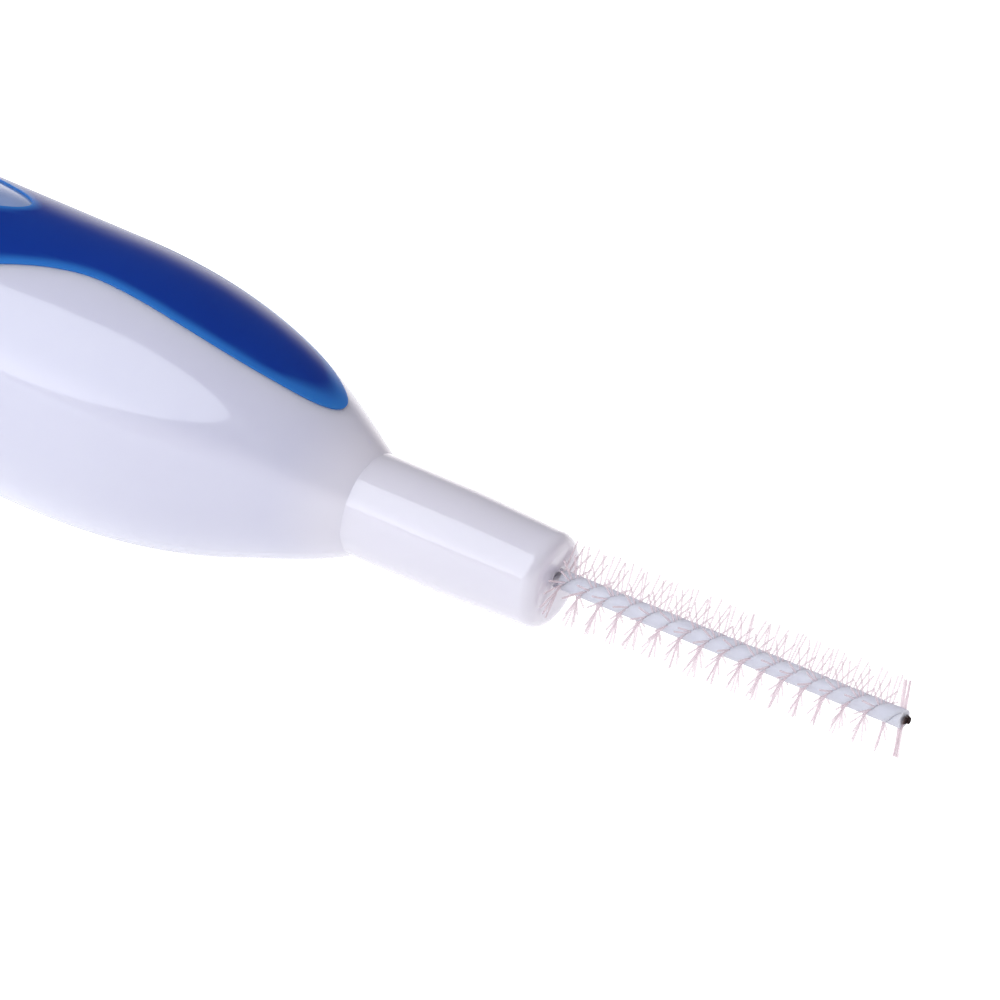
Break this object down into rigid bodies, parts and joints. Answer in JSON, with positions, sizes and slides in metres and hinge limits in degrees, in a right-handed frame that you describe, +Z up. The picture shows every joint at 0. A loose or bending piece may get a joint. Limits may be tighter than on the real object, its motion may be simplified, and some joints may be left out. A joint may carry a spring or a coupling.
{
  "type": "interdental brush",
  "caption": "Slim swelling handle with a soft grip loop on top, a plain round neck holding a twisted-wire brush, and a clear push-on cap carried on the tail.",
  "frame": {"origin": "centre of the part's box in X and Y, on the plane that the flat of the belly rests on", "axes": "+X along the neck towards the tip of the brush, +Z up through the middle of the soft grip, +Y to the left of the brush"},
  "size_m": [0.101, 0.0102, 0.0099],
  "materials": {
    "white_plastic": "glossy moulded polypropylene",
    "blue_soft": "smooth soft elastomer with a satin sheen",
    "steel_wire": "drawn stainless wire",
    "wire_plastic": "thin pale plastic coating",
    "nylon": "translucent nylon filament",
    "clear_plastic": "clear moulded plastic"
  },
  "bodies": {
    "brush": {"handle": "white_plastic", "grip": "blue_soft", "brush_wire": "steel_wire", "wire_coating": "wire_plastic", "bristles": "nylon"},
    "cap": {"cap": "clear_plastic"}
  },
  "joints": [
    {"name": "cap_pull", "type": "slide", "parent": "brush", "child": "cap", "axis": [-1, 0, 0], "range_m": [0, 0.008]}
  ]
}
